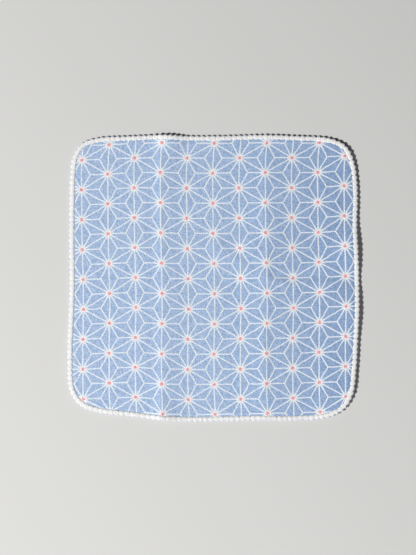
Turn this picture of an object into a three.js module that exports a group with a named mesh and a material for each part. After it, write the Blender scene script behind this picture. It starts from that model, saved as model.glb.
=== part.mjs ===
// A small square handkerchief with rounded corners, lying opened out after being kept folded.
//
// It has two pieces, as a maker would cut and sew it: one panel of soft printed cotton, and a
// white overlocked edging whose yarn wraps round the panel's cut edge and stands out from it
// in a row of small picot teeth. The folds it was kept in still show: two upright ridges part
// it in thirds, and a shallow valley crosses the right third.
//
// Millimetres, +Z up. The origin is on the surface it lies on, under the middle of its outline.

import * as THREE from "three";

// Driving dimensions of the cloth.
const CLOTH_THICKNESS = 1.4;
const PRESSED_THICKNESS = 0.8; // where the edging's stitches squeeze the rim
const PRESSED_WIDTH = 5; // from the edge line in to where the cloth starts to fill out again

// Driving dimensions of the edging, measured from the edge line that halves its teeth.
const TOOTH_COUNT = 203;
const TIP_REACH = 0.4; // tooth tips stand this far outside the edge line
const NOTCH_DEPTH = 0.7; // and the notches between them this far inside it
const EDGING_WIDTH = 3.6; // from the edge line in to the needle line
const CUT_EDGE_INSET = 1.8; // where the panel's own cut edge ends, under the wrapped yarn
const CLEARANCE = 0.43; // between the panel and the yarn round it
const YARN_COVER = 0.32; // thickness of the yarn over and under the rim
const TOOTH_HALF_THICKNESS = 0.5; // at its tip
const TOOTH_SWELL = 0.12; // a tooth is this much fuller than the notch beside it
const CROWN_INSET = 1.1; // the yarn is thickest here, and thins out towards the tips
const LIP_BEVEL_WIDTH = 0.5; // the needle ends are rounded off over this width
const LIP_BEVEL_DROP = 0.16; // and by this much height

// The edge line as it lies, clockwise from the left end of the top side. Corners are round.
const EDGE_LINE = [
  { x: -112.6, y: 116.2 },
  { x: -98.4, y: 120.9 },
  { x: -70, y: 122.6 },
  { x: -44.5, y: 123.5 },
  { x: -21.7, y: 122.6 },
  { x: 9, y: 122.7 },
  { x: 43, y: 123.5 },
  { x: 72, y: 122.6 },
  { x: 101.1, y: 120.3 },
  { x: 114.8, y: 113.2 },
  { x: 121.5, y: 99.3 },
  { x: 124.3, y: 74 },
  { x: 123.8, y: 45 },
  { x: 125.1, y: 15 },
  { x: 125.8, y: -20 },
  { x: 124.8, y: -48 },
  { x: 123.1, y: -78 },
  { x: 120, y: -99.8 },
  { x: 112.1, y: -112.8 },
  { x: 98.2, y: -119.7 },
  { x: 67.6, y: -122.2 },
  { x: 36.9, y: -122 },
  { x: 6.2, y: -122.8 },
  { x: -24.6, y: -123 },
  { x: -46, y: -121.8 },
  { x: -72, y: -118.5 },
  { x: -100.8, y: -114.7 },
  { x: -114.6, y: -108.7 },
  { x: -122.9, y: -96.1 },
  { x: -124.9, y: -65 },
  { x: -123.9, y: -35 },
  { x: -122.9, y: -4 },
  { x: -123.3, y: 30 },
  { x: -123, y: 68 },
  { x: -122.3, y: 90 },
  { x: -120.1, y: 105.2 },
];

// Upright folds: ridges with a crest at x, whose flanks run out flat on each side. The rise of
// the crest is given down the fold, from the top hem to the bottom one. The left fold has a low
// shoulder beside it.
const LEFT_FOLD_X = -44.5;
const LEFT_SHOULDER_X = -58;
const RIGHT_FOLD_X = 44.5;
const UPRIGHT_FOLDS = [
  {
    x: LEFT_SHOULDER_X,
    leftFlank: 58,
    rightFlank: 10,
    rise: [
      { y: 105, height: 0.12 },
      { y: 65, height: 0.3 },
      { y: 30, height: 0.45 },
      { y: -70, height: 0.4 },
      { y: -95, height: 0.25 },
      { y: -123, height: 0.15 },
    ],
  },
  {
    x: LEFT_FOLD_X,
    leftFlank: 14,
    rightFlank: 34,
    rise: [
      { y: 123, height: 1.1 },
      { y: 80, height: 1.0 },
      { y: -70, height: 0.9 },
      { y: -123, height: 1.6 },
    ],
  },
  {
    x: RIGHT_FOLD_X,
    leftFlank: 28,
    rightFlank: 44,
    rise: [
      { y: 123, height: 0.35 },
      { y: 40, height: 1.4 },
      { y: 10, height: 1.8 },
      { y: -25, height: 1.3 },
      { y: -75, height: 1.5 },
      { y: -123, height: 1.0 },
    ],
  },
];

// The cross fold: a shallow valley over the right third only, which ends short of the hem.
const CROSS_FOLD = { fromX: 48, fullX: 64, thinsX: 98, endX: 116, y: 1.6, flank: 5, height: -0.4 };

// Places where the cloth stands a little off the surface: rounded swells with two half widths.
const SWELLS = [
  { x: -36, y: 124, height: 1.3, halfX: 16, halfY: 22 }, // top hem beside the left fold
  { x: -42, y: -123, height: 0.7, halfX: 16, halfY: 22 }, // bottom hem at the left fold
  { x: 121, y: 26, height: 1.4, halfX: 22, halfY: 26 }, // right hem above the cross fold
  { x: 121, y: -1, height: -0.55, halfX: 20, halfY: 12 }, // dip in the right hem at the cross fold
  { x: 121, y: -30, height: 0.95, halfX: 24, halfY: 28 }, // right hem below the cross fold
  { x: 121, y: -40, height: 1.25, halfX: 44, halfY: 280 }, // the whole right hem
  { x: 72, y: 124, height: 0.45, halfX: 40, halfY: 16 }, // top hem over the right third
  { x: 116, y: 116, height: 0.7, halfX: 36, halfY: 34 }, // top right corner
  { x: 118, y: -112, height: 0.6, halfX: 38, halfY: 48 }, // bottom right corner
  { x: 30, y: 24, height: 0.35, halfX: 16, halfY: 20 }, // pucker left of the right fold
];

// The rim climbs over the yarn beneath it, from this far inside the edge line.
const RIM_CLIMB_WIDTH = 12;
const EDGING_HALF_HEIGHT = PRESSED_THICKNESS / 2 + CLEARANCE + YARN_COVER + TOOTH_SWELL / 2;
const RIM_CLIMB = EDGING_HALF_HEIGHT - CLOTH_THICKNESS / 2;

// Grid lines of the panel: each row says how many cells lead from the last stop to this one.
// Inset stops count in from the panel's own cut edge.
const PRESSED_BAND = 2.9; // the part of the panel that lies inside the edging
const FIRST_CELL = 6;
const COLUMNS = [
  { to: LEFT_SHOULDER_X, cells: 7 },
  { to: LEFT_FOLD_X, cells: 5 },
  { to: -18, cells: 7 },
  { to: 30, cells: 6 },
  { to: RIGHT_FOLD_X, cells: 4 },
  { to: CROSS_FOLD.fullX, cells: 4 },
  { toInset: PRESSED_BAND + FIRST_CELL, cells: 6 },
];
const ROWS = [
  { to: -56, cells: 6 },
  { to: CROSS_FOLD.y - CROSS_FOLD.flank, cells: 8 },
  { to: CROSS_FOLD.y, cells: 2 },
  { to: CROSS_FOLD.y + CROSS_FOLD.flank, cells: 2 },
  { to: 52, cells: 8 },
  { toInset: PRESSED_BAND + FIRST_CELL, cells: 6 },
];

// The closed curve through the edge line's points, and a fine run of points on it.
const edgeCurve = new THREE.CatmullRomCurve3(
  EDGE_LINE.map(({ x, y }) => new THREE.Vector3(x, y, 0)),
  true,
  "centripetal",
);
const FINE_STEPS = 900;
edgeCurve.arcLengthDivisions = 4 * FINE_STEPS;
const fineEdge = edgeCurve.getSpacedPoints(FINE_STEPS).slice(0, FINE_STEPS);

// Outward direction at each of a closed run of points that goes clockwise.
function outwardDirections(points) {
  const count = points.length;
  return points.map((_, i) => {
    const along = points[(i + 1) % count].clone().sub(points[(i + count - 1) % count]);
    return new THREE.Vector3(-along.y, along.x, 0).normalize();
  });
}

// How far a point lies inside the edge line.
function depthInside(x, y) {
  let nearest = Infinity;
  for (const point of fineEdge) nearest = Math.min(nearest, Math.hypot(point.x - x, point.y - y));
  return nearest;
}

// The height that a table of { y, height } rows gives at y, straight between its rows.
function heightAlong(rows, y) {
  const below = rows.findIndex((row) => row.y <= y);
  if (below === 0) return rows[0].height;
  if (below < 0) return rows[rows.length - 1].height;
  const [upper, lower] = [rows[below - 1], rows[below]];
  return THREE.MathUtils.mapLinear(y, lower.y, upper.y, lower.height, upper.height);
}

// A fold's share of its full height: one on its line, falling as a square to nothing at its
// flank's end.
function flankShare(distance, flank) {
  return Math.max(0, 1 - distance / flank) ** 2;
}

function uprightFoldHeight(fold, x, y) {
  const flank = x < fold.x ? fold.leftFlank : fold.rightFlank;
  return heightAlong(fold.rise, y) * flankShare(Math.abs(x - fold.x), flank);
}

function crossFoldHeight(x, y) {
  const begun = THREE.MathUtils.smoothstep(x, CROSS_FOLD.fromX, CROSS_FOLD.fullX);
  const lasts = 1 - THREE.MathUtils.smoothstep(x, CROSS_FOLD.thinsX, CROSS_FOLD.endX);
  return CROSS_FOLD.height * begun * lasts * flankShare(Math.abs(y - CROSS_FOLD.y), CROSS_FOLD.flank);
}

function swellHeight(swell, x, y) {
  const reach = ((x - swell.x) / swell.halfX) ** 2 + ((y - swell.y) / swell.halfY) ** 2;
  return swell.height * Math.max(0, 1 - reach) ** 2;
}

// Height of the middle of the cloth at a point, given how far that point is inside the edge line.
function middleHeight(x, y, inside) {
  let height = CLOTH_THICKNESS / 2 + RIM_CLIMB * flankShare(Math.max(0, inside), RIM_CLIMB_WIDTH);
  for (const fold of UPRIGHT_FOLDS) height += uprightFoldHeight(fold, x, y);
  for (const swell of SWELLS) height += swellHeight(swell, x, y);
  return height + crossFoldHeight(x, y);
}

// A closed mesh from points and triangles.
function solidGeometry(points, triangles) {
  const geometry = new THREE.BufferGeometry();
  geometry.setAttribute("position", new THREE.Float32BufferAttribute(points.flat(), 3));
  geometry.setIndex(triangles.flat());
  geometry.computeVertexNormals();
  return geometry;
}

// Places of the panel's grid lines across a rectangle from -half to +half, with both rims' own lines.
function gridLines(stops, half) {
  const lines = [-half, -half + PRESSED_BAND, -half + PRESSED_BAND + FIRST_CELL];
  for (const stop of stops) {
    const from = lines[lines.length - 1];
    const to = stop.to ?? half - stop.toInset;
    for (let i = 1; i <= stop.cells; i++) lines.push(THREE.MathUtils.lerp(from, to, i / stop.cells));
  }
  lines.push(half - PRESSED_BAND, half);
  return lines;
}

// The panel's own cut edge as a radius at each angle about the origin.
const cutEdge = (() => {
  const outward = outwardDirections(fineEdge);
  const points = fineEdge.map((point, i) => point.clone().addScaledVector(outward[i], -CUT_EDGE_INSET));
  return points
    .map((point) => ({ angle: Math.atan2(point.y, point.x), radius: Math.hypot(point.x, point.y) }))
    .sort((a, b) => a.angle - b.angle);
})();

function cutEdgeRadius(angle) {
  const after = cutEdge.findIndex((entry) => entry.angle >= angle);
  if (after <= 0) return cutEdge[0].radius;
  const [low, high] = [cutEdge[after - 1], cutEdge[after]];
  return THREE.MathUtils.mapLinear(angle, low.angle, high.angle, low.radius, high.radius);
}

// Takes a point of the square grid to its place on the cloth: the grid stays square inside and
// bends near its rim, so that the grid's outermost line falls on the cut edge.
const BEND_POWER = 7;
function placeOnCloth(gridX, gridY, halfX, halfY) {
  const share = Math.max(Math.abs(gridX) / halfX, Math.abs(gridY) / halfY);
  if (share === 0) return [0, 0];
  const rimX = gridX / share;
  const rimY = gridY / share;
  const stretch = cutEdgeRadius(Math.atan2(rimY, rimX)) / Math.hypot(rimX, rimY);
  const scale = 1 + (stretch - 1) * share ** BEND_POWER;
  return [gridX * scale, gridY * scale];
}

// The panel: one sheet over the folds, thinner where the edging presses it.
function panelGeometry() {
  const halfX = Math.max(...EDGE_LINE.map(({ x }) => Math.abs(x))) - CUT_EDGE_INSET;
  const halfY = Math.max(...EDGE_LINE.map(({ y }) => Math.abs(y))) - CUT_EDGE_INSET;
  const columns = gridLines(COLUMNS, halfX);
  const rows = gridLines(ROWS, halfY);
  const across = columns.length;
  const down = rows.length;
  const top = [];
  const bottom = [];
  for (const gridY of rows) {
    for (const gridX of columns) {
      const [x, y] = placeOnCloth(gridX, gridY, halfX, halfY);
      const inside = depthInside(x, y);
      const full = THREE.MathUtils.smoothstep(inside, PRESSED_WIDTH, RIM_CLIMB_WIDTH);
      const thickness = THREE.MathUtils.lerp(PRESSED_THICKNESS, CLOTH_THICKNESS, full);
      const middle = middleHeight(x, y, inside);
      top.push([x, y, middle + thickness / 2]);
      bottom.push([x, y, Math.max(0, middle - thickness / 2)]);
    }
  }
  const lower = top.length;
  const at = (i, j) => j * across + i;
  const triangles = [];
  for (let j = 0; j + 1 < down; j++) {
    for (let i = 0; i + 1 < across; i++) {
      const [a, b, c, d] = [at(i, j), at(i + 1, j), at(i + 1, j + 1), at(i, j + 1)];
      // Each quarter's cells split towards its own corner, so that none is flat at the round corners.
      const rising = columns[i] + columns[i + 1] > 0 === rows[j] + rows[j + 1] > 0;
      const pair = rising ? [[a, b, c], [a, c, d]] : [[a, b, d], [b, c, d]];
      for (const [p, q, r] of pair) triangles.push([p, q, r], [lower + p, lower + r, lower + q]);
    }
  }
  const rim = [];
  for (let i = 0; i < across; i++) rim.push(at(i, 0));
  for (let j = 1; j < down; j++) rim.push(at(across - 1, j));
  for (let i = across - 2; i >= 0; i--) rim.push(at(i, down - 1));
  for (let j = down - 2; j > 0; j--) rim.push(at(0, j));
  rim.forEach((p, k) => {
    const q = rim[(k + 1) % rim.length];
    triangles.push([lower + p, lower + q, q], [lower + p, q, p]);
  });
  return solidGeometry([...top, ...bottom], triangles);
}

// The edging's section at a tooth or at a notch, anticlockwise from the upper lip: how far out
// from the edge line, and how far above the middle of the cloth, each corner lies.
function edgingSection(isTooth) {
  const slot = PRESSED_THICKNESS / 2 + CLEARANCE;
  const swell = (isTooth ? TOOTH_SWELL : -TOOTH_SWELL) / 2;
  const crown = slot + YARN_COVER + swell;
  const shoulder = crown - LIP_BEVEL_DROP;
  const reach = isTooth ? TIP_REACH : -NOTCH_DEPTH;
  const lip = -EDGING_WIDTH - swell;
  const slotEnd = -CUT_EDGE_INSET + CLEARANCE;
  return [
    { out: lip, up: slot },
    { out: slotEnd, up: slot },
    { out: slotEnd, up: -slot },
    { out: lip, up: -slot },
    { out: lip + LIP_BEVEL_WIDTH, up: -shoulder },
    { out: -CROWN_INSET, up: -crown },
    { out: reach, up: -TOOTH_HALF_THICKNESS },
    { out: reach, up: TOOTH_HALF_THICKNESS },
    { out: -CROWN_INSET, up: crown },
    { out: lip + LIP_BEVEL_WIDTH, up: shoulder },
  ];
}

// The edging: its section carried round the edge line, a tooth and a notch in turn.
function edgingGeometry() {
  const stations = edgeCurve.getSpacedPoints(2 * TOOTH_COUNT).slice(0, 2 * TOOTH_COUNT);
  const outward = outwardDirections(stations);
  const points = [];
  stations.forEach((station, k) => {
    for (const { out, up } of edgingSection(k % 2 === 0)) {
      const x = station.x + outward[k].x * out;
      const y = station.y + outward[k].y * out;
      points.push([x, y, Math.max(0, middleHeight(x, y, -out) + up)]);
    }
  });
  const sides = edgingSection(true).length;
  const triangles = [];
  for (let k = 0; k < stations.length; k++) {
    const here = k * sides;
    const next = ((k + 1) % stations.length) * sides;
    for (let s = 0; s < sides; s++) {
      const t = (s + 1) % sides;
      triangles.push([here + s, next + t, next + s], [here + s, here + t, next + t]);
    }
  }
  return solidGeometry(points, triangles);
}

const printedCotton = new THREE.MeshStandardMaterial({ color: 0xa9bcdb, roughness: 0.9, metalness: 0 });
const whiteYarn = new THREE.MeshStandardMaterial({ color: 0xf1f1ee, roughness: 0.85, metalness: 0 });

const panel = new THREE.Mesh(panelGeometry(), printedCotton);
panel.name = "cloth_panel";

const edging = new THREE.Mesh(edgingGeometry(), whiteYarn);
edging.name = "picot_edging";

// The outline's own box is centred on the origin.
const handkerchief = new THREE.Group();
handkerchief.add(panel, edging);
const box = new THREE.Box3().setFromObject(handkerchief, true);
handkerchief.position.set(-(box.min.x + box.max.x) / 2, -(box.min.y + box.max.y) / 2, -box.min.z);

export default handkerchief;
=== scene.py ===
import math

import bpy
import numpy as np
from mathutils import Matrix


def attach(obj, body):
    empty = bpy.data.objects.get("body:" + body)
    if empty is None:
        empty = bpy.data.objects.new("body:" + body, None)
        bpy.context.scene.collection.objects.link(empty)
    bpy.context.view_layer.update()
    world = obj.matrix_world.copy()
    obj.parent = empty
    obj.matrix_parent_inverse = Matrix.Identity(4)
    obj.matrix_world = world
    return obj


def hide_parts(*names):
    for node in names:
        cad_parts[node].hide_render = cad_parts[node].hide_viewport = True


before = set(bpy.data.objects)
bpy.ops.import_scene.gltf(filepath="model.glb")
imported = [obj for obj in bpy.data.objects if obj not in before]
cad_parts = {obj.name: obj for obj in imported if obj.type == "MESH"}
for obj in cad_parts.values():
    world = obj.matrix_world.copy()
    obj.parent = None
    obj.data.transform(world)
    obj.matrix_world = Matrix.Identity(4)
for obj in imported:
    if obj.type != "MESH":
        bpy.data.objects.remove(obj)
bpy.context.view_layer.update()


# The cotton panel.
#
# One square of soft two-layer cotton with round corners, printed on its face with a hemp-leaf
# lattice. It was kept folded, so two upright ridges part it in thirds and a shallow valley
# crosses the right third. Its cut edge ends inside the overlocked yarn. Sizes are in mm.

PANEL_THICKNESS = 1.4
PRESSED_THICKNESS = 0.7
PRESSED_TO = 3.8  # the overlock presses the rim this far inside the edge line
PUFFED_FROM = 6.0  # and the cloth is back to its full thickness here
EDGING_HALF_HEIGHT = 1.05
EDGING_WIDTH = 3.6
CUT_EDGE_INSET = 0.70  # of the face; the reverse is cut a little wider, so that the rim slants
REVERSE_INSET = 0.35
RIM_CLIMB_WIDTH = 12.0
BEND_POWER = 7
PANEL_CELLS = 196

# Points on the line that halves the edging's teeth, clockwise from the left end of the top side.
EDGE_POINTS = np.array([
    (-112.6, 116.2), (-98.4, 120.9), (-70.0, 122.6), (-44.5, 123.5), (-21.7, 122.6), (9.0, 122.7),
    (43.0, 123.5), (72.0, 122.6), (101.1, 120.3), (114.8, 113.2), (121.5, 99.3), (124.3, 74.0),
    (123.8, 45.0), (125.1, 15.0), (125.8, -20.0), (124.8, -48.0), (123.1, -78.0), (120.0, -99.8),
    (112.1, -112.8), (98.2, -119.7), (67.6, -122.2), (36.9, -122.0), (6.2, -122.8),
    (-24.6, -123.0), (-46.0, -121.8), (-72.0, -118.5), (-100.8, -114.7), (-114.6, -108.7),
    (-122.9, -96.1), (-124.9, -65.0), (-123.9, -35.0), (-122.9, -4.0), (-123.3, 30.0),
    (-123.0, 68.0), (-122.3, 90.0), (-120.1, 105.2),
])

# Upright ridges: where the crest stands, how far each flank runs out, and the crest's rise down
# the fold as (y, height) pairs from the bottom hem to the top one. The left fold has a low
# shoulder beside it.
UPRIGHT_FOLDS = [
    dict(
        x=-58.0,
        left=58.0,
        right=10.0,
        rise=[(-123, 0.15), (-95, 0.25), (-70, 0.4), (30, 0.45), (65, 0.3), (105, 0.12)],
    ),
    dict(x=-44.5, left=14.0, right=34.0, rise=[(-123, 1.6), (-70, 0.9), (80, 1.0), (123, 1.1)]),
    dict(
        x=44.5,
        left=28.0,
        right=44.0,
        rise=[(-123, 1.0), (-75, 1.5), (-25, 1.3), (10, 1.8), (40, 1.4), (123, 0.35)],
    ),
]
CREST_ROUNDING = 1.2
CROSS_FOLD = dict(start=48.0, full=64.0, thins=98.0, end=116.0, y=1.6, flank=5.0, height=-0.4)

# Places that stand a little off the surface: centre, height and the two half widths.
SWELLS = [
    dict(x=-36, y=124, height=1.3, half_x=16, half_y=22),
    dict(x=-42, y=-123, height=0.7, half_x=16, half_y=22),
    dict(x=121, y=26, height=1.4, half_x=22, half_y=26),
    dict(x=121, y=-1, height=-0.55, half_x=20, half_y=12),
    dict(x=121, y=-30, height=0.95, half_x=24, half_y=28),
    dict(x=121, y=-40, height=1.25, half_x=44, half_y=280),
    dict(x=72, y=124, height=0.45, half_x=40, half_y=16),
    dict(x=116, y=116, height=0.7, half_x=36, half_y=34),
    dict(x=118, y=-112, height=0.6, half_x=38, half_y=48),
    dict(x=30, y=24, height=0.35, half_x=16, half_y=20),
]

# Short soft creases: two ends, the half widths on the left and on the right as
# one goes from the first end to the second, and the height.
CREASES = [
    dict(ends=((6, 29), (33, 7)), left=2.6, right=13.0, height=0.5),
    dict(ends=((42, 4), (60, -5)), left=3.2, right=3.2, height=0.32),
    dict(ends=((62, -5), (100, -4)), left=3.4, right=3.4, height=0.12),
    dict(ends=((18, -12), (18, -58)), left=2.4, right=2.4, height=0.08),
    dict(ends=((-39, 50), (-38, 26)), left=3.0, right=3.0, height=-0.10),
    dict(ends=((38, 54), (37, 28)), left=3.0, right=3.0, height=-0.10),
    dict(ends=((53, 54), (52, 28)), left=3.0, right=3.0, height=0.12),
    dict(ends=((50.5, -45), (51, -90)), left=6.0, right=3.6, height=-0.30),
    dict(ends=((-84, 22), (-74, 16)), left=3.0, right=3.0, height=-0.08),
]
CREASE_END = 5.0  # each dies away over this length past its ends


def edge_line(count):
    """`count` points evenly spaced along the edge line, and the outward direction at each.

    Each stretch between two control points is a cubic whose end slopes come from the neighbours,
    weighted by the square roots of their distances; the whole closed line is then read again at
    even steps of its length. Outward is the direction of travel turned a quarter turn left.
    """
    before, start = np.roll(EDGE_POINTS, 1, axis=0), EDGE_POINTS
    end, after = np.roll(EDGE_POINTS, -1, axis=0), np.roll(EDGE_POINTS, -2, axis=0)

    def root_gap(a, b):
        return np.sqrt(np.linalg.norm(b - a, axis=1))[:, None]

    g0, g1, g2 = root_gap(before, start), root_gap(start, end), root_gap(end, after)
    leave = ((start - before) / g0 - (end - before) / (g0 + g1) + (end - start) / g1) * g1
    arrive = ((end - start) / g1 - (after - start) / (g1 + g2) + (after - end) / g2) * g1
    s = np.linspace(0, 1, 120, endpoint=False)[None, :, None]
    start, end, leave, arrive = (v[:, None, :] for v in (start, end, leave, arrive))
    curve = start + leave * s + (3 * (end - start) - 2 * leave - arrive) * s**2
    curve = (curve + (2 * (start - end) + leave + arrive) * s**3).reshape(-1, 2)
    closed = np.vstack([curve, curve[:1]])
    along = np.concatenate([[0], np.cumsum(np.linalg.norm(np.diff(closed, axis=0), axis=1))])
    wanted = np.arange(count) / count * along[-1]
    points = np.stack([np.interp(wanted, along, closed[:, k]) for k in (0, 1)], axis=1)
    travel = np.roll(points, -1, axis=0) - np.roll(points, 1, axis=0)
    travel /= np.linalg.norm(travel, axis=1, keepdims=True)
    return points, np.stack([-travel[:, 1], travel[:, 0]], axis=1), along[-1]


fine_line, _, EDGE_LENGTH = edge_line(3240)
EDGE_SHIFT = -(fine_line.min(axis=0) + fine_line.max(axis=0)) / 2  # centres the outline's box


def depth_inside(points):
    """How far each point lies inside the edge line, measured square to it at its nearest point."""
    line, outward, _ = edge_line(720)
    gap2 = (points**2).sum(1)[:, None] + (line**2).sum(1)[None] - 2 * points @ line.T
    nearest = gap2.astype(np.float32).argmin(axis=1)
    return ((line[nearest] - points) * outward[nearest]).sum(axis=1)


def falling(distance, reach):
    """One at no distance, falling as a square to nothing at `reach`."""
    return np.clip(1 - distance / reach, 0, None) ** 2


def smooth_step(value, low, high):
    """Nothing below `low`, one above `high`, an even S between them."""
    share = np.clip((value - low) / (high - low), 0, 1)
    return share**2 * (3 - 2 * share)


PUCKER_WAVES = 28
PUCKER_LENGTHS = (5.0, 13.0)  # from crest to crest
PUCKER_HEIGHT = 0.012  # of one wave; they add up to about four times this


def puckers(x, y):
    """Washed two-layer cotton is never quite flat: level waves of many lengths and directions,
    drawn at random once, are added up."""
    draw = np.random.default_rng(7)
    total = np.zeros_like(x)
    for _ in range(PUCKER_WAVES):
        turn, start = draw.uniform(0, 2 * math.pi, 2)
        across = x * math.cos(turn) + y * math.sin(turn)
        total += np.cos(across * 2 * math.pi / draw.uniform(*PUCKER_LENGTHS) + start)
    return PUCKER_HEIGHT * total


def cloth_middle(x, y, inside):
    """Height of the middle of the cloth: half its thickness, plus the climb of its rim over the
    yarn below it, the ridges, the swells, the short creases and the puckers inside the hem."""
    height = PANEL_THICKNESS / 2 + np.zeros_like(x)
    height += (EDGING_HALF_HEIGHT - height) * falling(np.clip(inside, 0, None), RIM_CLIMB_WIDTH)
    for fold in UPRIGHT_FOLDS:
        flank = np.where(x < fold["x"], fold["left"], fold["right"])
        away = np.hypot(x - fold["x"], CREST_ROUNDING) - CREST_ROUNDING
        rise = np.interp(y, *np.transpose(fold["rise"]))
        height += rise * falling(away, flank)
    begun = smooth_step(x, CROSS_FOLD["start"], CROSS_FOLD["full"])
    lasts = 1 - smooth_step(x, CROSS_FOLD["thins"], CROSS_FOLD["end"])
    away = np.hypot(y - CROSS_FOLD["y"], CREST_ROUNDING) - CREST_ROUNDING
    height += CROSS_FOLD["height"] * begun * lasts * falling(away, CROSS_FOLD["flank"])
    for swell in SWELLS:
        reach = ((x - swell["x"]) / swell["half_x"]) ** 2 + ((y - swell["y"]) / swell["half_y"]) ** 2
        height += swell["height"] * np.clip(1 - reach, 0, None) ** 2
    for crease in CREASES:
        (ax, ay), (bx, by) = crease["ends"]
        length = math.hypot(bx - ax, by - ay)
        along = ((x - ax) * (bx - ax) + (y - ay) * (by - ay)) / length
        across = ((x - ax) * (by - ay) - (y - ay) * (bx - ax)) / length
        past = np.maximum(np.maximum(-along, along - length), 0)
        width = np.where(across < 0, crease["left"], crease["right"])
        height += crease["height"] * np.exp(-(across / width) ** 2 - (past / CREASE_END) ** 2)
    return height + puckers(x, y) * np.clip((inside - EDGING_WIDTH) / EDGING_WIDTH, 0, 1)


def square_to_outline(cells, inset):
    """A square grid laid on the panel: it stays square inside and bends near the rim, by a high
    power of its nearness to the rim, so that its outermost lines fall on the cut edge."""
    line, outward, _ = edge_line(1440)
    cut = line - outward * inset
    angle = np.arctan2(cut[:, 1], cut[:, 0])
    order = np.argsort(angle)
    radius = np.linalg.norm(cut, axis=1)[order]
    half_x, half_y = np.abs(cut).max(axis=0)
    u, v = np.meshgrid(np.linspace(-1, 1, cells + 1), np.linspace(-1, 1, cells + 1))
    share = np.maximum(np.maximum(np.abs(u), np.abs(v)), 1e-9)
    rim_x, rim_y = u / share * half_x, v / share * half_y
    found = np.interp(np.arctan2(rim_y, rim_x), angle[order], radius, period=2 * math.pi)
    scale = 1 + (found / np.hypot(rim_x, rim_y) - 1) * share**BEND_POWER
    return u * half_x * scale, v * half_y * scale


# How far the print has slipped from its true lattice, in mm: across it for rows of the cloth, and
# up it for columns at the top and at the bottom hem.
SLIP_ACROSS = [(-116, 0.5), (-98, -0.3), (-65, -0.3), (-45, 0.0), (-26, 0.6), (-5, 0.4),
               (13, 0.1), (40, -0.5), (90, -0.6), (104, 0.0), (117, 1.1)]
SLIP_RIM = [(-120, 0.35), (-100, 0.0), (100, 0.0), (120, -0.55)]  # up it, close to the two hems
SLIP_UP = [(-112, -1.2, 0.3), (-90, -0.7, 1.3), (-67, 0.5, 1.6), (-45, 0.7, -0.3), (-22, 0.2, -1.1),
           (1, 0.0, -1.1), (23, -0.1, -0.9), (46, 0.0, -0.6), (68, -0.4, -0.3), (91, -0.3, 0.3),
           (113, 0.9, 0.8)]
LEAN_ACROSS = -0.0053  # the print is laid a little askew: its columns lean left as they rise,
LEAN_UP = 0.0075  # and its rows climb to the right
PRINT_SPAN = 260.0  # the print's own flat square, which its map covers once


def print_place(x, y):
    """Where a point of the cloth lies on the unslipped print, as shares of its flat square."""
    at_x, top, bottom = np.transpose(SLIP_UP)
    share = np.clip(y / 240 + 0.5, 0, 1)
    slip_up = np.interp(x, at_x, bottom) * (1 - share) + np.interp(x, at_x, top) * share
    slip_up += np.interp(y, *np.transpose(SLIP_RIM))
    slip_across = np.interp(y, *np.transpose(SLIP_ACROSS))
    flat_x = x - slip_across - LEAN_ACROSS * y
    flat_y = y - slip_up - LEAN_UP * x
    return np.stack([flat_x, flat_y], axis=-1) / PRINT_SPAN + 0.5


def make_mesh(name, vertices, faces, uv=None):
    """A mesh object at the origin from vertices in mm and lists of faces with equal corners; `uv`
    gives each vertex its place on the piece's own map."""
    mesh = bpy.data.meshes.new(name)
    corners = [np.asarray(f) for f in faces]
    sizes = np.concatenate([np.full(len(f), f.shape[1]) for f in corners])
    loops = np.concatenate([f.ravel() for f in corners])
    mesh.vertices.add(len(vertices))
    mesh.vertices.foreach_set("co", (np.asarray(vertices) / 1000).astype(np.float32).ravel())
    mesh.loops.add(len(loops))
    mesh.loops.foreach_set("vertex_index", loops.astype(np.int32))
    mesh.polygons.add(len(sizes))
    mesh.polygons.foreach_set("loop_start", (np.cumsum(sizes) - sizes).astype(np.int32))
    mesh.polygons.foreach_set("use_smooth", np.ones(len(sizes), dtype=bool))
    if uv is not None:
        layer = mesh.uv_layers.new(name="flat")
        layer.data.foreach_set("uv", uv[loops].astype(np.float32).ravel())
    mesh.update(calc_edges=True)
    mesh.validate()
    made = bpy.data.objects.new(name, mesh)
    bpy.context.scene.collection.objects.link(made)
    return made


def panel_mesh():
    """The panel: the bent grid twice, half a thickness above and below the cloth's middle, and a
    band of faces that joins the two round the cut edge."""
    sides = [square_to_outline(PANEL_CELLS, inset) for inset in (CUT_EDGE_INSET, REVERSE_INSET)]
    x, y = np.array(sides).transpose(1, 0, 2, 3).reshape(2, -1)
    inside = depth_inside(np.stack([x, y], axis=1))
    full = smooth_step(inside, PRESSED_TO, PUFFED_FROM)
    half = (PRESSED_THICKNESS + (PANEL_THICKNESS - PRESSED_THICKNESS) * full) / 2
    face_up = np.repeat([1, -1], len(x) // 2)
    height = np.maximum(cloth_middle(x, y, inside) + half * face_up, 0)
    vertices = np.column_stack([x + EDGE_SHIFT[0], y + EDGE_SHIFT[1], height])
    n = PANEL_CELLS + 1
    index = np.arange(n * n).reshape(n, n)
    cell = [index[:-1, :-1], index[:-1, 1:], index[1:, 1:], index[1:, :-1]]
    top = np.stack([c.ravel() for c in cell], axis=1)
    under = top[:, ::-1] + n * n
    rim = np.concatenate([index[0, :-1], index[:-1, -1], index[-1, :0:-1], index[:0:-1, 0]])
    nxt = np.roll(rim, -1)
    band = np.stack([rim + n * n, nxt + n * n, nxt, rim], axis=1)
    faces = np.vstack([top, band, under])
    panel = make_mesh("cotton_panel", vertices, [faces], print_place(x, y))
    unprinted = np.arange(len(faces)) >= len(top)
    panel.data.polygons.foreach_set("material_index", unprinted.astype(np.int32))
    return panel


cotton_panel = panel_mesh()

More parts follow.
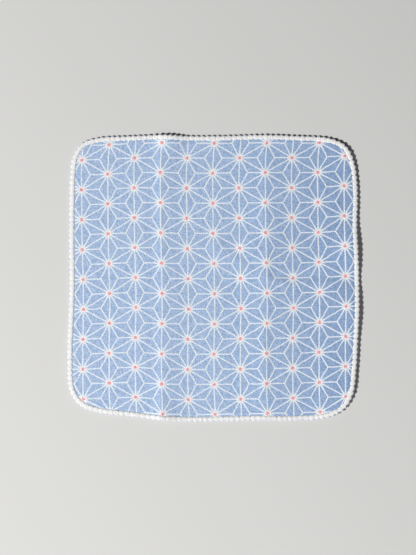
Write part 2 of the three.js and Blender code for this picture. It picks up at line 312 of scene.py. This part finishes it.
REPEAT_UP = 25.83  # from one star to the next up a column
REPEAT_ACROSS = 22.54  # from one column to the next
STAR_AT = (0.68, 13.09)
LINE_HALF_WIDTH = 0.54
STAR_SPREAD = 0.2  # the lines' ink has run this much wider close to a star
DISC_RADIUS = 2.75
DOT_RADIUS = 1.35
BLUE = (0.427, 0.543, 0.760, 1)
DEEP_BLUE = (0.287, 0.406, 0.624, 1)
PAINTED_SHADE_FROM_RIGHT_FOLD = (0.90, 0.925, 0.955, 1)  # painted shade: the ground is painted this much darker from the right fold on, where the light falls away
PAINTED_SHADE_AT_RIGHT_HEM = (0.77, 0.81, 0.86, 1)  # and painted this much darker again toward the right hem, more painted shade of the same kind
LINE_WHITE = (0.715, 0.77, 0.85, 1)
DISC_WHITE = (0.785, 0.76, 0.79, 1)
PINK = (0.78, 0.32, 0.375, 1)


class Finish:
    """A material under construction: each call adds a node and gives back its output."""

    def __init__(self, name):
        self.material = bpy.data.materials.new(name)
        self.material.use_nodes = True
        self.tree = self.material.node_tree
        self.shader = self.tree.nodes["Principled BSDF"]

    def feed(self, socket, term):
        if isinstance(term, bpy.types.NodeSocket):
            self.tree.links.new(term, socket)
        else:
            socket.default_value = term

    def sum(self, operation, *terms):
        node = self.tree.nodes.new("ShaderNodeMath")
        node.operation = operation
        for socket, term in zip(node.inputs, terms):
            self.feed(socket, term)
        return node.outputs[0]

    def ramp(self, value, low, high):
        """Nothing below `low`, one above `high`, an even S between them."""
        node = self.tree.nodes.new("ShaderNodeMapRange")
        node.interpolation_type = "SMOOTHSTEP"
        self.feed(node.inputs["Value"], value)
        self.feed(node.inputs["From Min"], low)
        self.feed(node.inputs["From Max"], high)
        return node.outputs["Result"]

    def mix(self, share, first, second):
        node = self.tree.nodes.new("ShaderNodeMix")
        node.data_type = "RGBA"
        self.feed(node.inputs["Factor"], share)
        self.feed(node.inputs["A"], first)
        self.feed(node.inputs["B"], second)
        return node.outputs["Result"]

    def multiply(self, first, second):
        node = self.tree.nodes.new("ShaderNodeMix")
        node.data_type = "RGBA"
        node.blend_type = "MULTIPLY"
        node.inputs["Factor"].default_value = 1.0
        self.feed(node.inputs["A"], first)
        self.feed(node.inputs["B"], second)
        return node.outputs["Result"]

    def vector(self, x, y, z=0.0):
        node = self.tree.nodes.new("ShaderNodeCombineXYZ")
        for socket, term in zip(node.inputs, (x, y, z)):
            self.feed(socket, term)
        return node.outputs[0]

    def noise(self, place, scale, detail=2.0, roughness=0.5):
        node = self.tree.nodes.new("ShaderNodeTexNoise")
        self.feed(node.inputs["Vector"], place)
        node.inputs["Scale"].default_value = scale
        node.inputs["Detail"].default_value = detail
        node.inputs["Roughness"].default_value = roughness
        return node.outputs["Fac"]

    def flat_place(self, span_x, span_y):
        """The piece's own map, centred and opened out to mm."""
        node = self.tree.nodes.new("ShaderNodeUVMap")
        node.uv_map = "flat"
        parts = self.tree.nodes.new("ShaderNodeSeparateXYZ")
        self.feed(parts.inputs[0], node.outputs["UV"])
        x = self.sum("MULTIPLY_ADD", parts.outputs["X"], span_x, -span_x / 2)
        y = self.sum("MULTIPLY_ADD", parts.outputs["Y"], span_y, -span_y / 2)
        return x, y

    def bump(self, height, depth_mm, below=None):
        node = self.tree.nodes.new("ShaderNodeBump")
        node.inputs["Strength"].default_value = 1.0
        node.inputs["Distance"].default_value = depth_mm / 1000
        self.feed(node.inputs["Height"], height)
        if below is not None:
            self.feed(node.inputs["Normal"], below)
        return node.outputs["Normal"]

    def finish(self, colour, roughness, normal, sheen=0.0):
        self.feed(self.shader.inputs["Base Color"], colour)
        self.feed(self.shader.inputs["Roughness"], roughness)
        self.feed(self.shader.inputs["Normal"], normal)
        self.shader.inputs["Sheen Weight"].default_value = sheen
        self.shader.inputs["Sheen Roughness"].default_value = 0.5
        self.shader.inputs["Specular IOR Level"].default_value = 0.2
        return self.material


def hemp_leaf(f, x, y):
    """Distances in mm from a point of the print to its nearest line and its nearest star.

    Three families of lines cut the plane into equal triangles with a star at each corner. A
    point's place along the three families, less its whole part, gives its shares of the corners
    of its triangle. The smallest share is its distance from the triangle's sides, the difference
    of the two smaller ones its distance from the spokes that run from the corners to the middle,
    and all three together its distance from the nearest corner.
    """
    across = f.sum("MULTIPLY", f.sum("SUBTRACT", x, STAR_AT[0]), 1 / REPEAT_ACROSS)
    up = f.sum("MULTIPLY", f.sum("SUBTRACT", y, STAR_AT[1]), 1 / REPEAT_UP)
    half = f.sum("MULTIPLY", across, 0.5)
    places = (across, f.sum("MULTIPLY", f.sum("ADD", up, half), -1.0), f.sum("SUBTRACT", up, half))
    a, b, c = (f.sum("FRACT", f.sum("ADD", place, 64.0)) for place in places)
    flip = f.sum("ROUND", f.sum("SUBTRACT", f.sum("ADD", f.sum("ADD", a, b), c), 1.0))
    a, b, c = (f.sum("ABSOLUTE", f.sum("SUBTRACT", share, flip)) for share in (a, b, c))
    least = f.sum("MINIMUM", f.sum("MINIMUM", a, b), c)
    most = f.sum("MAXIMUM", f.sum("MAXIMUM", a, b), c)
    other = f.sum("SUBTRACT", f.sum("SUBTRACT", 1.0, least), most)
    to_side = f.sum("MULTIPLY", least, REPEAT_UP * math.sqrt(3) / 2)
    to_spoke = f.sum("MULTIPLY", f.sum("SUBTRACT", other, least), REPEAT_UP / 2)
    square = f.sum("MULTIPLY", f.sum("ADD", least, other), f.sum("ADD", least, other))
    square = f.sum("SUBTRACT", square, f.sum("MULTIPLY", least, other))
    to_star = f.sum("MULTIPLY", f.sum("SQRT", f.sum("MAXIMUM", square, 0.0)), REPEAT_UP)
    return f.sum("MINIMUM", to_side, to_spoke), to_star


def weave(f, x, y, pitch):
    """Height of a plain weave, from 0 to 1: the product of a wave across and a wave up, so that
    threads rise over and dip under one another by turns."""
    over = f.sum("SINE", f.sum("MULTIPLY", x, math.pi / pitch))
    along = f.sum("SINE", f.sum("MULTIPLY", y, math.pi / pitch))
    return f.sum("MULTIPLY_ADD", f.sum("MULTIPLY", over, along), 0.5, 0.5)


def printed_cotton():
    """The face: soft blue ground with slubs, and the white lattice, discs and pink dots on it."""
    f = Finish("printed_cotton")
    x, y = f.flat_place(PRINT_SPAN, PRINT_SPAN)
    place = f.vector(x, y)
    wander = f.noise(place, 0.16, 1.0)
    drift = f.sum("MULTIPLY_ADD", wander, 0.9, -0.45)
    line, star = hemp_leaf(f, f.sum("ADD", x, drift), f.sum("SUBTRACT", y, drift))
    ragged = f.sum("MULTIPLY_ADD", f.noise(place, 0.9, 3.0, 0.6), 0.9, -0.45)
    by_star = f.sum("SUBTRACT", 1.0, f.ramp(star, 3.0, 6.5))
    line = f.sum("SUBTRACT", f.sum("ADD", line, ragged), f.sum("MULTIPLY", by_star, STAR_SPREAD))
    star = f.sum("ADD", star, f.sum("MULTIPLY", ragged, 0.6))
    on_line = f.sum("SUBTRACT", 1.0, f.ramp(line, LINE_HALF_WIDTH - 0.25, LINE_HALF_WIDTH + 0.25))
    on_disc = f.sum("SUBTRACT", 1.0, f.ramp(star, DISC_RADIUS - 0.35, DISC_RADIUS + 0.35))
    on_dot = f.sum("SUBTRACT", 1.0, f.ramp(star, DOT_RADIUS - 0.3, DOT_RADIUS + 0.3))
    upright_slub = f.noise(f.vector(f.sum("MULTIPLY", x, 2.2), f.sum("MULTIPLY", y, 0.5)), 0.5, 3.0)
    level_slub = f.noise(f.vector(f.sum("MULTIPLY", x, 0.5), f.sum("MULTIPLY", y, 2.2)), 0.5, 3.0)
    slant = f.vector(f.sum("ADD", x, y), f.sum("MULTIPLY", f.sum("SUBTRACT", x, y), 0.3))
    slant_slub = f.noise(slant, 0.55, 3.0, 0.65)
    mottle = f.sum("ADD", f.sum("ADD", upright_slub, level_slub), slant_slub)
    mottle = f.ramp(mottle, 1.28, 1.72)
    ground = f.mix(mottle, DEEP_BLUE, BLUE)
    # Painted shade: the ground is darkened toward the right, from the right fold on and again toward
    # the right hem, where the light falls away.
    ground = f.multiply(ground, f.mix(f.ramp(x, -15.0, 45.0), (1, 1, 1, 1), PAINTED_SHADE_FROM_RIGHT_FOLD))
    ground = f.multiply(ground, f.mix(f.ramp(x, 50.0, 118.0), (1, 1, 1, 1), PAINTED_SHADE_AT_RIGHT_HEM))
    colour = f.mix(on_line, ground, LINE_WHITE)
    colour = f.mix(on_disc, colour, DISC_WHITE)
    colour = f.mix(on_dot, colour, PINK)
    speck = f.ramp(f.noise(place, 1.15, 1.0), 0.36, 0.64)
    colour = f.multiply(colour, f.mix(speck, (0.86, 0.86, 0.87, 1), (1.15, 1.15, 1.13, 1)))
    threads = f.bump(weave(f, x, y, 0.55), 0.06)
    crepe = f.bump(f.noise(place, 1.2, 2.0, 0.6), 0.36, threads)
    normal = f.bump(mottle, 0.10, crepe)
    return f.finish(colour, 0.9, normal, sheen=0.1)


def plain_reverse():
    """The back and the cut edge: the same cotton unprinted, with the print's blue only just
    showing through."""
    f = Finish("plain_cotton_reverse")
    x, y = f.flat_place(PRINT_SPAN, PRINT_SPAN)
    place = f.vector(x, y)
    patchy = f.noise(place, 0.5, 3.0)
    colour = f.mix(patchy, (0.66, 0.70, 0.76, 1), (0.76, 0.78, 0.80, 1))
    threads = f.bump(weave(f, x, y, 0.55), 0.06)
    return f.finish(colour, 0.92, f.bump(patchy, 0.08, threads), sheen=0.1)


cotton_panel.data.materials.append(printed_cotton())
cotton_panel.data.materials.append(plain_reverse())
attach(cotton_panel, "root")
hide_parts("cloth_panel")


# The overlocked edging.
#
# White soft-spun yarn, machine overlocked round the cut edge. Each stitch is a fan of wraps: they
# lie side by side over the rim, and draw together outside it into one small pointed tooth.

STITCHES = 203
WRAPS_PER_STITCH = 6
TIP_REACH = 0.16
SLANT = 0.3  # the needle end of a wrap leads its tip by this much along the edge

# One wrap from its needle hole in the face, out over the rim to the tip, and back to the reverse:
# how far out and up its middle runs, how much of its place in the fan it keeps, and its two widths.
WRAP_COURSE = np.array([
    # out, up, fan, width, thickness
    (-4.10, 0.34, 0.66, 0.66, 0.32),
    (-3.75, 0.57, 0.76, 0.82, 0.36),
    (-3.20, 0.65, 0.90, 1.00, 0.40),
    (-2.30, 0.64, 1.00, 1.10, 0.40),
    (-1.50, 0.60, 1.00, 1.10, 0.40),
    (-1.10, 0.56, 0.86, 0.88, 0.40),
    (-0.65, 0.48, 0.50, 0.54, 0.40),
    (-0.14, 0.35, 0.42, 0.48, 0.40),
    (0.02, 0.04, 0.40, 0.46, 0.40),
    (-0.12, -0.32, 0.46, 0.48, 0.40),
    (-0.60, -0.54, 0.60, 0.58, 0.40),
    (-1.30, -0.65, 0.92, 0.84, 0.40),
    (-2.50, -0.65, 1.00, 0.88, 0.40),
    (-3.70, -0.46, 0.60, 0.56, 0.34),
])

rng = np.random.default_rng(20)


def edge_frame(along):
    """Edge-line points and outward directions at distances along it, read between 3240 even ones."""
    line, outward, length = edge_line(3240)
    step = np.mod(along, length) / length * 3240
    low = np.floor(step).astype(int) % 3240
    share = (step - np.floor(step))[..., None]
    high = (low + 1) % 3240
    point = line[low] * (1 - share) + line[high] * share
    direction = outward[low] * (1 - share) + outward[high] * share
    return point, direction / np.linalg.norm(direction, axis=-1, keepdims=True)


def on_rim(along, out, up):
    """Points by distance along the edge line, distance out from it, and height above the middle
    of the cloth there."""
    point, direction = edge_frame(along)
    place = point + direction * out[..., None]
    height = cloth_middle(place[..., 0], place[..., 1], -out) + up
    return np.concatenate([place + EDGE_SHIFT, height[..., None]], axis=-1)


def yarn(name, paths, across, width, thickness, sides):
    """Many yarns at once: an ellipse carried along each path, `width` wide along `across` and
    `thickness` thick square to that and to the path, closed by a flat fan at each end. Its first
    corner points straight down a wrap, so that five sides still lie level on top. The map runs
    round the yarn once and along it in mm."""
    tubes, stations = paths.shape[:2]
    travel = np.gradient(paths, axis=1)
    travel /= np.linalg.norm(travel, axis=2, keepdims=True)
    across = across - (across * travel).sum(2, keepdims=True) * travel
    across /= np.linalg.norm(across, axis=2, keepdims=True)
    deep = np.cross(travel, across)
    turn = (np.arange(sides) / sides + 0.25) * 2 * math.pi
    ring = (
        np.cos(turn)[:, None] * (across * width[..., None] / 2)[:, :, None, :]
        + np.sin(turn)[:, None] * (deep * thickness[..., None] / 2)[:, :, None, :]
    )
    vertices = (paths[:, :, None, :] + ring).reshape(-1, 3)
    index = np.arange(tubes * stations * sides).reshape(tubes, stations, sides)
    here, nxt = index, np.roll(index, -1, axis=2)
    wall = np.stack([here[:, :-1], nxt[:, :-1], nxt[:, 1:], here[:, 1:]], axis=-1).reshape(-1, 4)
    caps = np.vstack([index[:, 0, ::-1], index[:, -1]])
    run = np.cumsum(np.linalg.norm(np.diff(paths, axis=1, prepend=paths[:, :1]), axis=2), axis=1)
    round_yarn = np.broadcast_to(np.arange(sides) / sides, (tubes, stations, sides))
    uv = np.stack([round_yarn, np.broadcast_to(run[..., None], round_yarn.shape)], axis=-1)
    return make_mesh(name, vertices, [wall, caps], uv.reshape(-1, 2))


PITCH = EDGE_LENGTH / STITCHES


def wrap_mesh():
    """All wraps: WRAP_COURSE set out at each place in each stitch's fan. The middle wraps of a fan
    reach furthest, and each wrap strays a little from its place."""
    place = (np.arange(WRAPS_PER_STITCH) + 0.5) / WRAPS_PER_STITCH - 0.5
    stitch = np.repeat(np.arange(STITCHES), WRAPS_PER_STITCH)[:, None]
    place = np.tile(place, STITCHES)[:, None]
    out, up, fan, width, thickness = (c[None] for c in WRAP_COURSE.T)
    count = len(stitch)
    stray = rng.normal(0, 1, (count, 4, 1))
    to_tip = np.clip(1 + (out - 0.0) / 1.2, 0, 1)
    reach = TIP_REACH - 0.25 * (2 * place) ** 2 + 0.10 * stray[:, 0]
    along = stitch * PITCH + place * PITCH * fan - SLANT * (out + 2) / 4.15 + 0.06 * stray[:, 1]
    out = out + to_tip * reach + 0.08 * stray[:, 2] * (1 - to_tip)
    up = up + 0.04 * stray[:, 3] - 0.10 * to_tip - 0.08 * (2 * place) ** 2 * np.sign(up)
    paths = on_rim(along, out, up + np.zeros_like(along))
    ahead = on_rim(along + 0.5, out, up + np.zeros_like(along))
    fat = 1 + 0.06 * stray[:, 2]
    return yarn("picot_wraps", paths, ahead - paths, width * fat, thickness * fat, 5)


picot_wraps = wrap_mesh()


def needle_mesh():
    """The needle thread: one flat stitch after another along the needle line, each dipping into
    the cloth at both ends."""
    share = np.linspace(0, 1, 7)[None]
    along = (np.arange(STITCHES)[:, None] + 0.7 * (share - 0.5)) * PITCH + SLANT * 0.4
    out = -3.85 + 0.08 * rng.normal(0, 1, (STITCHES, 1)) + np.zeros_like(along)
    up = 0.15 + 0.40 * np.sin(math.pi * share) ** 0.5 + np.zeros_like(along)
    paths = on_rim(along, out, up)
    side = on_rim(along, out + 0.5, up) - paths
    width = 0.46 * (0.7 + 0.3 * np.sin(math.pi * share)) + np.zeros_like(along)
    return yarn("needle_thread", paths, side, width, 0.75 * width, 5)


needle_thread = needle_mesh()


def purl_mesh():
    """The looper thread that locks the tips: one yarn in waves along the edge, out over each
    tooth and in at each notch."""
    steps = 10
    along = np.arange(STITCHES * steps + 1)[None] / steps * PITCH
    phase = along / PITCH * 2 * math.pi
    out = -0.60 + 0.20 * np.cos(phase)
    up = -0.30 + 0.06 * np.cos(phase)
    paths = on_rim(along, out, up)
    side = on_rim(along, out, up + 0.5) - paths
    width = 0.4 + 0.04 * np.cos(3 * phase)
    return yarn("purl_thread", paths, side, width, width, 6)


purl_thread = purl_mesh()


TIP_FROM = 2.6  # mm along a wrap from its needle end


def soft_yarn(name, shade, tint, tip=None):
    """Bulky yarn: matt, mottled from one colour to the other, with the slant of its twist. `tip`
    colours the far stretch of a wrap, where the looper thread locks it."""
    f = Finish(name)
    node = f.tree.nodes.new("ShaderNodeUVMap")
    node.uv_map = "flat"
    parts = f.tree.nodes.new("ShaderNodeSeparateXYZ")
    f.feed(parts.inputs[0], node.outputs["UV"])
    turns = f.sum("MULTIPLY_ADD", parts.outputs["Y"], 1.6, f.sum("MULTIPLY", parts.outputs["X"], 2.0))
    twist = f.sum("MULTIPLY_ADD", f.sum("SINE", f.sum("MULTIPLY", turns, 2 * math.pi)), 0.5, 0.5)
    coordinates = f.tree.nodes.new("ShaderNodeTexCoord")
    fuzz = f.noise(coordinates.outputs["Object"], 900.0, 3.0, 0.7)
    colour = f.mix(f.ramp(fuzz, 0.3, 0.7), shade, tint)
    if tip:
        on_tip = f.ramp(parts.outputs["Y"], TIP_FROM, TIP_FROM + 0.8)
        colour = f.multiply(colour, f.mix(on_tip, (1, 1, 1, 1), tip))
    normal = f.bump(fuzz, 0.08, f.bump(twist, 0.05))
    return f.finish(colour, 0.85, normal, sheen=0.2)


SHADED_WHITE = (0.75, 0.75, 0.75, 1)
CLEAR_WHITE = (0.84, 0.84, 0.84, 1)
wrap_yarn = soft_yarn("lilac_tipped_yarn", SHADED_WHITE, CLEAR_WHITE, tip=(0.95, 0.96, 1.04, 1))
needle_yarn = soft_yarn("soft_white_yarn", SHADED_WHITE, CLEAR_WHITE)
purl_yarn = soft_yarn("pale_lilac_yarn", (0.56, 0.54, 0.68, 1), (0.64, 0.62, 0.76, 1))
for piece, finish in ((picot_wraps, wrap_yarn), (needle_thread, needle_yarn), (purl_thread, purl_yarn)):
    piece.data.materials.append(finish)
    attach(piece, "root")
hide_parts("picot_edging")

cut_line, cut_outward, _ = edge_line(1440)
cut_line = cut_line - cut_outward * REVERSE_INSET


# The floor, the light and the camera.
#
# A plain pale matt table top, one studio lamp low at the left and a soft even fill. The camera
# looks straight down, with the cloth a little right of the middle of an upright picture.

FLOOR_HALF = 9000.0
floor = make_mesh(
    "floor",
    np.array([(-1, -1, 0), (1, -1, 0), (1, 1, 0), (-1, 1, 0)]) * FLOOR_HALF - np.array([0, 0, 0.02]),
    [np.array([(0, 1, 2, 3)])],
)
f = Finish("pale_table_top")
coordinates = f.tree.nodes.new("ShaderNodeTexCoord")
grain = f.noise(coordinates.outputs["Object"], 700.0, 2.0)
f.finish(f.mix(grain, (0.600, 0.600, 0.598, 1), (0.625, 0.625, 0.622, 1)), 0.9, f.bump(grain, 0.02))
floor.data.materials.append(f.material)

KEY_AZIMUTH = math.radians(204)
KEY_ELEVATION = math.radians(41)
KEY_DISTANCE = 3.6
key_from = np.array([
    math.cos(KEY_AZIMUTH) * math.cos(KEY_ELEVATION),
    math.sin(KEY_AZIMUTH) * math.cos(KEY_ELEVATION),
    math.sin(KEY_ELEVATION),
])
lamp = bpy.data.lights.new("key_lamp", "AREA")
lamp.shape = "DISK"
lamp.size = 0.35
lamp.energy = 183
lamp.color = (1.0, 0.995, 0.975)
key = bpy.data.objects.new("key_lamp", lamp)
key.location = key_from * KEY_DISTANCE
key.rotation_mode = "QUATERNION"
key.rotation_quaternion = key.location.to_track_quat("Z", "Y")
bpy.context.scene.collection.objects.link(key)

# A broad weak lamp over the near edge evens out the floor from top to bottom.
soft = bpy.data.lights.new("soft_lamp", "AREA")
soft.shape = "DISK"
soft.size = 1.0
soft.energy = 3
soft_key = bpy.data.objects.new("soft_lamp", soft)
soft_key.location = (0.35, -1.0, 1.0)
soft_key.rotation_mode = "QUATERNION"
soft_key.rotation_quaternion = soft_key.location.to_track_quat("Z", "Y")
bpy.context.scene.collection.objects.link(soft_key)

world = bpy.data.worlds.new("studio")
world.use_nodes = True
world.node_tree.nodes["Background"].inputs["Color"].default_value = (1.0, 0.99, 0.94, 1)
world.node_tree.nodes["Background"].inputs["Strength"].default_value = 0.035
bpy.context.scene.world = world
bpy.context.scene.view_settings.view_transform = "Standard"

CAMERA_OVER = EDGE_SHIFT + (-4.386, 0.688)
PICTURE_HEIGHT = 477.3  # mm of table from the bottom to the top of the picture
LENS = 85.0
SENSOR = 36.0
view_finder = bpy.data.cameras.new("camera")
view_finder.sensor_width = SENSOR
view_finder.lens = LENS
camera = bpy.data.objects.new("camera", view_finder)
camera.location = (CAMERA_OVER[0] / 1000, CAMERA_OVER[1] / 1000, PICTURE_HEIGHT * LENS / SENSOR / 1000)
bpy.context.scene.collection.objects.link(camera)
bpy.context.scene.camera = camera
